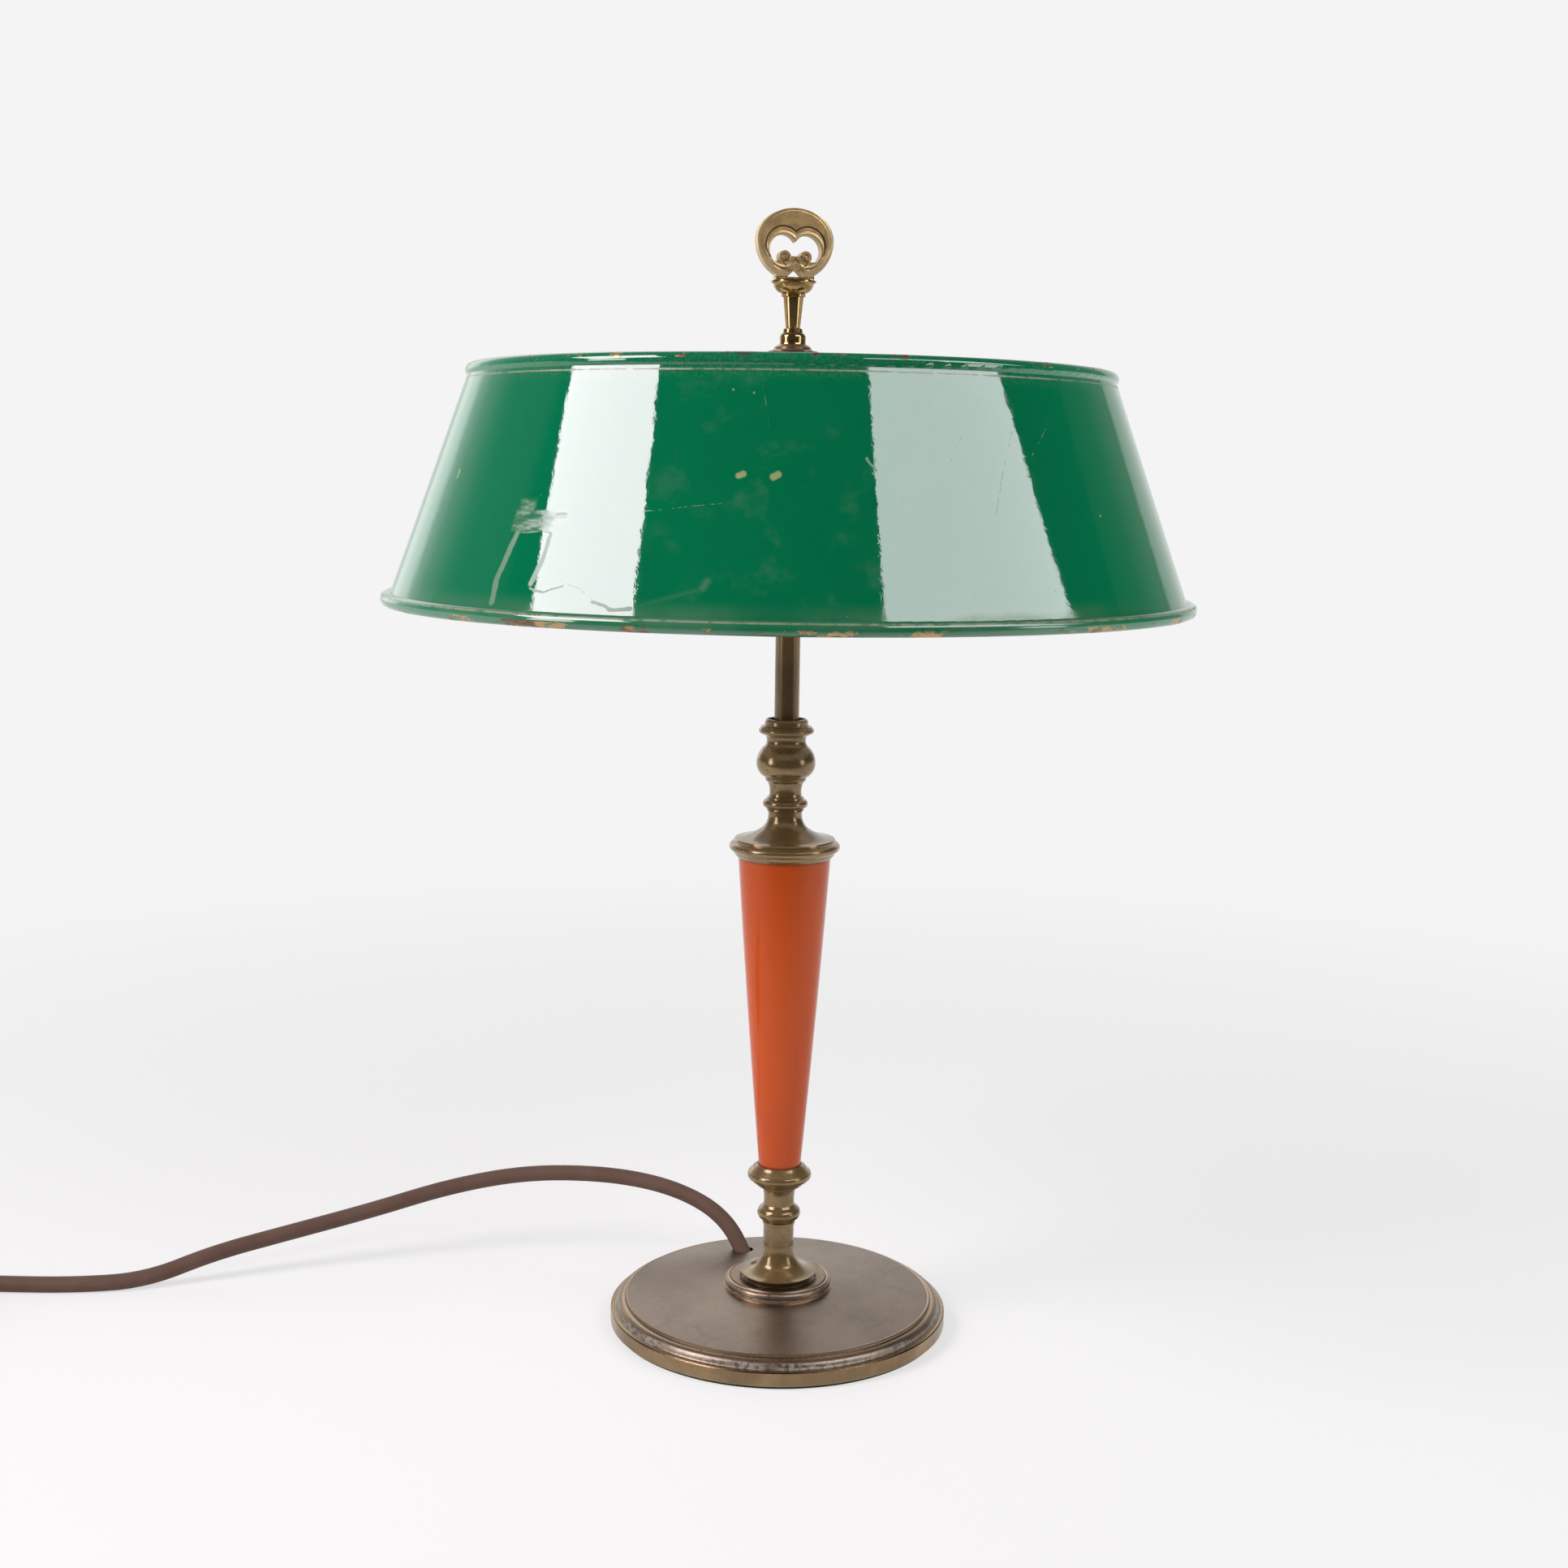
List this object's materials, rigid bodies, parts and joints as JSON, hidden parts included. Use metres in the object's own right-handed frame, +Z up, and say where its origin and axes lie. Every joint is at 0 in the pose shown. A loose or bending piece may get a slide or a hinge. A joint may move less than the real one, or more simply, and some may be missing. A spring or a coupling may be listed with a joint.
{
  "type": "table lamp",
  "caption": "Brass bouillotte table lamp with a moulded round base, turned column, shallow green metal shade that turns, key-shaped finial screw and flex with plug.",
  "frame": {"origin": "middle of the felt pad's underside, on the column's axis", "axes": "+Z up along the column, -Y to the front, +X to the viewer's right"},
  "size_m": [0.6841, 0.3669, 0.5194],
  "materials": {
    "aged_brass": "aged, satin",
    "dark_brass": "aged, dark, satin",
    "green_lacquer": "gloss lacquer, worn",
    "orange_lacquer": "satin lacquer",
    "felt": "felt",
    "iron": "as cast",
    "steel": "plated",
    "porcelain": "glazed",
    "opal_glass": "opal",
    "bulb_metal": "satin",
    "brown_flex": "soft sheen",
    "insulation": "matt",
    "plug_plastic": "soft gloss",
    "plated_brass": "nickel plated"
  },
  "bodies": {
    "lamp": {"felt_pad": "felt", "base_plate": "aged_brass", "cord_bush": "insulation", "base_weight": "iron", "base_washer": "steel", "base_nut": "steel", "tie_tube": "steel", "foot_spacer": "dark_brass", "foot_stem": "aged_brass", "lower_knop": "aged_brass", "column_cup": "aged_brass", "column_cone": "orange_lacquer", "capital": "aged_brass", "upper_knop": "aged_brass", "baluster": "aged_brass", "rod_cup": "aged_brass", "rod_sleeve": "dark_brass", "cluster_body": "aged_brass", "cluster_nut": "steel", "cluster_cover": "aged_brass", "terminal_block": "porcelain", "top_stud": "steel", "upper_sleeve": "dark_brass", "shade_seat": "aged_brass", "arm_nipples": "aged_brass", "branch_leads": "insulation", "live_wire": "insulation", "neutral_wire": "insulation", "earth_wire": "insulation", "cord": "brown_flex", "cord_coil": "brown_flex", "cord_ties": "insulation", "cord_tail": "brown_flex", "plug_body": "plug_plastic", "plug_pins": "plated_brass", "plug_earth_clips": "plated_brass", "centre_contacts": "plated_brass", "holder_cap_left": "aged_brass", "holder_shell_left": "aged_brass", "holder_insulator_left": "porcelain", "thread_shell_left": "plated_brass", "bulb_cap_left": "bulb_metal", "bulb_glass_left": "opal_glass", "holder_cap_right": "aged_brass", "holder_shell_right": "aged_brass", "holder_insulator_right": "porcelain", "thread_shell_right": "plated_brass", "bulb_cap_right": "bulb_metal", "bulb_glass_right": "opal_glass"},
    "shade_set": {"shade": "green_lacquer", "upper_rim_wire": "steel", "lower_rim_wire": "steel", "spider_hub": "aged_brass", "spider_arms": "aged_brass"},
    "key_lift": {"clamp_washer": "aged_brass"},
    "key": {"key_finial": "aged_brass"},
    "key_left": {"switch_key_left": "aged_brass"},
    "key_right": {"switch_key_right": "aged_brass"}
  },
  "joints": [
    {"name": "shade_turn", "type": "hinge", "parent": "lamp", "child": "shade_set", "pos_m": [0, 0, 0.45], "axis": [0, 0, 1], "continuous": true},
    {"name": "key_rise", "type": "slide", "parent": "lamp", "child": "key_lift", "axis": [0, 0, 1], "range_m": [0, 0.004]},
    {"name": "key_turn", "type": "hinge", "parent": "key_lift", "child": "key", "pos_m": [0, 0, 0.46], "axis": [0, 0, 1], "range_deg": [0, 1440]},
    {"name": "switch_turn_left", "type": "hinge", "parent": "lamp", "child": "key_left", "pos_m": [-0.039, 0, 0.377], "axis": [0, 0, 1], "range_deg": [0, 90]},
    {"name": "switch_turn_right", "type": "hinge", "parent": "lamp", "child": "key_right", "pos_m": [0.039, 0, 0.377], "axis": [0, 0, 1], "range_deg": [0, 90]}
  ],
  "couplings": [
    {"joint": "key_turn", "follows": "key_rise", "rad_per_m": 6283.2}
  ]
}
